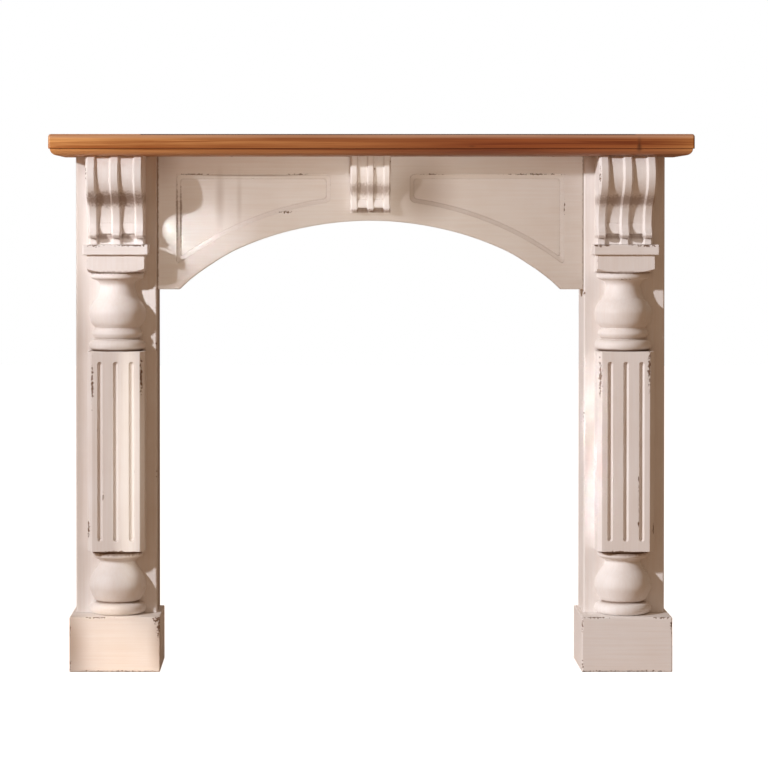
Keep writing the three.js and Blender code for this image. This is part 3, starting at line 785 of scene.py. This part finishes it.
class MANTEL_OT_half_columns(Operator):
    """Build both half columns, each turned and fluted from one blank"""

    bl_idname = "mantel.half_columns"
    bl_label = "Half columns"

    def execute(self, context):
        sizes = context.scene.mantel_sizes
        for side in SIDES:
            node = "half_column_" + side
            low, high = BOXES[node]
            self.half = (high.x - low.x) / 2
            self.foot = low.z
            self.block_foot = self.foot + sizes.lower_turning
            self.block_head = self.block_foot + sizes.fluted_block
            self.capital_foot = self.block_head + sizes.upper_turning
            bm = combined([
                self.fluted_block(sizes),
                turned(self.lower_outline(), sizes.turning_steps),
                turned(self.upper_outline(), sizes.turning_steps),
                self.capital(sizes, high.z),
            ])
            bmesh.ops.translate(bm, vec=((low.x + high.x) / 2, FACE_Y, 0), verts=bm.verts)
            painted(context, node, bm, 0.6 * MM, 2)
        return {"FINISHED"}

    def ring(self, foot, height):
        """A half-round ring that reaches the blank's faces"""
        return arc((self.half - height / 2, foot + height / 2), height / 2, -90, 90, 14)

    def vase(self, stations, foot, head):
        """A vase between two levels"""
        points = [(self.half - cut * MM, foot + part * (head - foot)) for part, cut in stations]
        return smooth_line(points, 6)

    def ovolo(self, cut, under, foot, head):
        """A round that falls back towards its foot"""
        edge = self.half - cut * MM
        return (arc((edge - under, foot + under), under, -80, 0, 8)
                + arc((edge - MM, head - MM), MM, 0, 90, 3))

    def lower_outline(self):
        """From the plinth to the fluted block: ring, vase, disc and fillet"""
        ring_head = self.foot + 24 * MM
        fillet = self.block_foot - 5.5 * MM
        disc_foot = fillet - 12 * MM
        return [(0, self.foot), *self.ring(self.foot, 24 * MM),
                *self.vase(LOWER_VASE, ring_head + 2.5 * MM, disc_foot),
                *self.ovolo(6.5, 7 * MM, disc_foot, fillet),
                (self.half - 11.5 * MM, fillet),
                (self.half - 11.5 * MM, self.block_foot + OVERLAP),
                (0, self.block_foot + OVERLAP)]

    def upper_outline(self):
        """From the fluted block to the capital: two rings, vase and disc"""
        start = self.block_head
        small_foot = start + 26.5 * MM
        small_head = small_foot + 21 * MM
        disc_foot = self.capital_foot - 15 * MM
        neck = self.half - 13.5 * MM
        small = smooth_line([(neck, small_foot), (self.half - 7 * MM, (small_foot + small_head) / 2),
                             (neck, small_head)], 8)
        return [(0, start - OVERLAP), (self.half - 12 * MM, start - OVERLAP),
                *self.ring(start, 24 * MM),
                (neck, start + 25.2 * MM), *small,
                *self.vase(UPPER_VASE, small_head + 2.5 * MM, disc_foot),
                *self.ovolo(4, 7 * MM, disc_foot, self.capital_foot),
                (self.half - 5.6 * MM, self.capital_foot + OVERLAP),
                (0, self.capital_foot + OVERLAP)]

    def fluted_block(self, sizes):
        """The square block, chamfered at the front and fluted"""
        half, chamfer = self.half, sizes.block_chamfer
        section = [(half, -GAP), (half, chamfer - half), (half - chamfer, -half),
                   (chamfer - half, -half), (-half, chamfer - half), (-half, -GAP)]
        bm = bmesh.new()
        joined_loops(bm, [[(x, y, z) for x, y in section] for z in (self.block_foot, self.block_head)])
        bmesh.ops.recalc_face_normals(bm, faces=bm.faces)
        outer = [edge for edge in bm.edges if min(vert.co.y for vert in edge.verts) < -MM]
        eased(bm, outer, 1.0 * MM)
        sliced(bm, 2, 5 * MM)
        flat = [face for face in bm.faces if face.normal.y < -0.999]
        bmesh.ops.dissolve_faces(bm, faces=flat)
        radius = sizes.flute_width / 2
        middle = (self.block_foot + self.block_head) / 2
        reach = sizes.fluted_block / 2 - sizes.flute_margin - radius
        lip = 0.5 * MM
        sweep = [(radius + lip, 0), (radius + 0.2 * MM, 0.08 * MM), (radius, 0.35 * MM)]
        sweep += [(radius * math.cos(math.radians(a)), radius * math.sin(math.radians(a)))
                  for a in range(12, 90, 11)]
        holes = []
        for flute in (-1, 0, 1):
            rings = []
            for wide, deep in sweep:
                x = flute * sizes.flute_pitch
                plan = arc((x, middle + reach), wide, 0, 180, 12)
                plan += arc((x, middle - reach), wide, 180, 360, 12)
                rings.append([(px, deep - half, pz) for px, pz in plan])
            holes += joined_loops(bm, rings, ends=("end",))[0]
        opened_front(bm, holes)
        bmesh.ops.recalc_face_normals(bm, faces=bm.faces)
        return bm

    def capital(self, sizes, top):
        """The square block over the upper turning, its underside turned up towards the corners"""
        half, corner = self.half, self.half * math.sqrt(2)
        foot = self.capital_foot
        shoulder = smooth_line([(half, foot), ((half + corner) / 2, foot + 3.0 * MM),
                                (corner, foot + 8.5 * MM)], 8)
        outline = [(0, foot), *shoulder,
                   (corner + MM, foot + 8.7 * MM), (corner + MM, top + MM), (0, top + MM)]
        square = block(Vector((-half, -half, foot - MM)), Vector((half, -GAP, top)))
        front = [edge for edge in square.edges if min(vert.co.y for vert in edge.verts) < -half + MM
                 or min(vert.co.z for vert in edge.verts) > top - MM]
        eased(square, front, 0.9 * MM)
        return combined([square, turned(outline, sizes.turning_steps)], "INTERSECT")


class MANTEL_OT_imposts(Operator):
    """Build the thin slab on top of each half column"""

    bl_idname = "mantel.imposts"
    bl_label = "Imposts"

    def execute(self, context):
        sizes = context.scene.mantel_sizes
        for side in SIDES:
            node = "impost_" + side
            bm = block(*BOXES[node])
            eased(bm, bm.edges[:], sizes.impost_arris)
            sliced(bm, 0, 3 * MM)
            painted(context, node, bm, 0.8 * MM, 0)
        return {"FINISHED"}


class MANTEL_OT_corbels(Operator):
    """Build the ribbed S-shaped corbels under the shelf"""

    bl_idname = "mantel.corbels"
    bl_label = "Corbels"

    def execute(self, context):
        for node, carving in (("corbel_left", SIDE_CARVING), ("corbel_right", SIDE_CARVING),
                              ("corbel_centre", CENTRE_CARVING)):
            bm = self.carved(node, carving)
            painted(context, node, bm, 0.6 * MM, 2, carving["hollow"] * MM)
        return {"FINISHED"}

    @staticmethod
    def outline(low, high, carving, proud):
        """The bracket's side, Y and Z, for a share of the ribs' relief"""
        height, back = high.z - low.z, high.y
        relief = carving["relief"] * MM
        projection = back + GAP - low.y
        lift = carving["lift"] * MM * (1 - proud)
        front = []
        for out, up in carving["curve"]:
            if up < FOOT_SHARE:
                out += (1 - proud) * (min(out, carving["field_foot"]) - out)
            front.append((back + GAP + relief * (1 - proud) - out * projection,
                          low.z + up * height + (lift if up < FOOT_SHARE else 0)))
        base = back + GAP - carving["base"] * MM - relief * proud
        points = [(back, low.z), (back, high.z)]
        points += smooth_line(front, 7)
        points += [(base, low.z + carving["foot"] * height + lift), (base, low.z)]
        return points

    def carved(self, node, carving):
        """A bracket built up from its side outlines along X"""
        low, high = BOXES[node]
        rib, bevel = carving["rib"] * MM, carving["bevel"] * MM
        pitch = (high.x - low.x - rib) / 2

        # Across one side of a rib: share of the bevel's width and share of its relief
        rise = ((0, 0), (0.1, 0.04), (0.2, 0.16), (0.8, 0.86), (0.92, 0.96), (1, 1))
        rings = []
        for start in (low.x, low.x + pitch, low.x + 2 * pitch):
            stations = [(start + bevel * wide, proud) for wide, proud in rise]
            stations += [(start + rib - bevel * wide, proud) for wide, proud in reversed(rise)]
            for x, proud in stations:
                rings.append([(x, y, z) for y, z in self.outline(low, high, carving, proud)])
        bm = bmesh.new()
        joined_loops(bm, rings)
        return bm


class MANTEL_OT_stage(Operator):
    """Add the pale floor, the lamp, the fill light and the camera"""

    bl_idname = "mantel.stage"
    bl_label = "Stage"

    def execute(self, context):
        scene = context.scene
        light = scene.mantel_light
        scene.view_settings.view_transform = "Standard"

        bm = bmesh.new()
        bmesh.ops.create_grid(bm, x_segments=1, y_segments=1, size=12)
        mesh = bpy.data.meshes.new("floor")
        bm.to_mesh(mesh)
        bm.free()
        floor = placed("floor", mesh)
        material, tree, _ = new_material("Matt white studio floor")
        shader = added(tree, "BsdfPrincipled", {
            "Base Color": (*light.floor, 1), "Roughness": 0.9, "Specular IOR Level": 0.1,
        })[0]
        seen = added(tree, "LightPath")["Is Camera Ray"]
        white = added(tree, "Emission", {"Strength": seen})[0]
        both = added(tree, "AddShader", {0: shader, 1: white})[0]
        added(tree, "OutputMaterial", {"Surface": both})
        mesh.materials.append(material)

        world = bpy.data.worlds.new("studio")
        scene.world = world
        world.use_nodes = True
        tree = world.node_tree
        tree.nodes.clear()
        seen = added(tree, "LightPath")["Is Camera Ray"]
        towards = added(tree, "SeparateXYZ", {0: added(tree, "TexCoord")["Generated"]})["X"]
        strength = added(tree, "MapRange", {
            "Value": towards, "From Min": -1.0, "From Max": 1.0, "To Min": 1.3 * light.fill_strength,
            "To Max": 0.8 * light.fill_strength,
        })[0]
        fill = added(tree, "Background", {"Color": (*light.fill, 1), "Strength": strength})[0]
        white = added(tree, "Background", {"Color": (1, 1, 1, 1), "Strength": 1.0})[0]
        both = added(tree, "MixShader", {0: seen, 1: fill, 2: white})[0]
        added(tree, "OutputWorld", {"Surface": both})

        frieze, corbel, column = (bpy.data.objects[name + "_dressed"] for name in (
            "frieze", "corbel_centre", "half_column_left"))
        sun, across = (-3.0, -2.5, 2.0), (6, -3, 0.75)
        for name, power, state in (("lamp", light.lamp_power, "EXCLUDE"),
                                   ("lamp on the frieze", 0.32 * light.lamp_power, "INCLUDE")):
            lamp = self.lamp(name, sun, across, light.lamp, power, light.lamp_size)
            self.falls_on(lamp, [frieze], state)

        # Spots: place, aim, colour, power, cone in degrees, size in m, and the pieces they are kept to
        pool, glow = light.pool_power, light.glow_power
        for name, place, aim, tint, power, cone, size, pieces in (
            ("pool on the capital", sun, (-0.52, 0, 0.9), light.lamp, pool, 7, 0.05, ()),
            ("pool on the frieze", sun, (-0.395, 0, 0.945), light.lamp, 1.3 * pool, 3.4, 0.05, [frieze]),
            ("pool on the plinth", sun, (-0.53, -0.07, 0.04), light.warm, 1.9 * pool, 3.3, 0.03, ()),
            ("slit on the left column", (-0.9, -3.5, 1.2), (-0.5205, -0.073, 0.45), light.cool,
             0.85 * pool, 9, 0.02, [column]),
            ("light thrown back at the frieze", (0.1, -3.3, 0.25), (0, 0, 1.0), light.cool,
             glow, 22, 0.3, [frieze, corbel]),
        ):
            spot = self.spot(name, place, aim, tint, power, cone, size)
            if pieces:
                self.falls_on(spot, pieces, "INCLUDE")
        slit = bpy.data.objects["slit on the left column"]
        slit.data.spot_blend = 0.3
        slit.scale.x = 0.1
        self.beam("beam on the right column", (-1.62, -1.6, 0.75), (0.478, -0.02, 0.47), light.lamp,
                  light.slot_power, 60 * MM, 2)

        camera = bpy.data.cameras.new("camera")
        camera.sensor_width = 36
        camera.lens = 130
        camera.shift_x = 0.09
        camera.shift_y = -0.165
        held = placed("camera", camera)
        held.location = (-0.12, -5.9985, 0.979)
        held.rotation_euler = (math.radians(90 - 0.87), 0, 0)
        scene.camera = held
        return {"FINISHED"}

    @staticmethod
    def hung(name, kind, place, aim, tint, power):
        """A light in its place, turned to its aim"""
        source = bpy.data.lights.new(name, kind)
        source.color = tint
        source.energy = power
        holder = placed(name, source)
        holder.location = place
        holder.rotation_euler = (Vector(aim) - Vector(place)).to_track_quat("-Z", "Y").to_euler()
        return holder

    def lamp(self, name, place, aim, tint, power, size):
        """A round lamp that is as strong on the far column as on the near one"""
        holder = self.hung(name, "AREA", place, aim, tint, power)
        holder.data.shape = "DISK"
        holder.data.size = size
        holder.data.use_nodes = True
        tree = holder.data.node_tree
        even = added(tree, "LightFalloff", {"Strength": 1.0})["Constant"]
        tree.links.new(even, tree.nodes["Emission"].inputs["Strength"])
        return holder

    def spot(self, name, place, aim, tint, power, cone, size):
        """A spot, its cone in degrees"""
        holder = self.hung(name, "SPOT", place, aim, tint, power)
        holder.data.spot_size = math.radians(cone)
        holder.data.spot_blend = 1.0
        holder.data.shadow_soft_size = size
        return holder

    def beam(self, name, place, aim, tint, power, width, spread):
        """A narrow upright beam, its spread in degrees"""
        holder = self.hung(name, "AREA", place, aim, tint, power)
        holder.data.shape = "RECTANGLE"
        holder.data.size, holder.data.size_y = width, 0.36
        holder.data.spread = math.radians(spread)
        return holder

    @staticmethod
    def falls_on(holder, pieces, state):
        """The light kept to these pieces, or off them"""
        group = bpy.data.collections.new(holder.name + ", pieces")
        for piece in pieces:
            group.objects.link(piece)
        for item in group.collection_objects:
            item.light_linking.link_state = state
        holder.light_linking.receiver_collection = group


STEPS = (MANTEL_OT_shelf, MANTEL_OT_frieze, MANTEL_OT_pilasters, MANTEL_OT_plinths,
         MANTEL_OT_half_columns, MANTEL_OT_imposts, MANTEL_OT_corbels, MANTEL_OT_stage)


class MANTEL_PT_steps(Panel):
    """Lists the pieces, with their sizes and finishes"""

    bl_idname = "MANTEL_PT_steps"
    bl_label = "Mantelpiece"
    bl_space_type = "VIEW_3D"
    bl_region_type = "UI"
    bl_category = "Mantelpiece"

    def draw(self, context):
        for step in STEPS:
            self.layout.operator(step.bl_idname)
        for group in (context.scene.mantel_sizes, context.scene.mantel_paint,
                      context.scene.mantel_pine, context.scene.mantel_light):
            box = self.layout.box()
            for name in group.bl_rna.properties.keys():
                if name not in ("rna_type", "name"):
                    box.prop(group, name)


GROUPS = {"mantel_sizes": MantelSizes, "mantel_paint": PaintFinish, "mantel_pine": PineFinish,
          "mantel_light": StudioLight}


def register():
    for kind in (*GROUPS.values(), *STEPS, MANTEL_PT_steps):
        bpy.utils.register_class(kind)
    for name, kind in GROUPS.items():
        setattr(bpy.types.Scene, name, PointerProperty(type=kind))


def unregister():
    for name in GROUPS:
        delattr(bpy.types.Scene, name)
    for kind in (MANTEL_PT_steps, *reversed(STEPS), *reversed(tuple(GROUPS.values()))):
        bpy.utils.unregister_class(kind)


def main():
    register()
    bpy.ops.mantel.shelf()
    bpy.ops.mantel.frieze()
    bpy.ops.mantel.pilasters()
    bpy.ops.mantel.plinths()
    bpy.ops.mantel.half_columns()
    bpy.ops.mantel.imposts()
    bpy.ops.mantel.corbels()
    bpy.ops.mantel.stage()


if __name__ == "__main__":
    main()
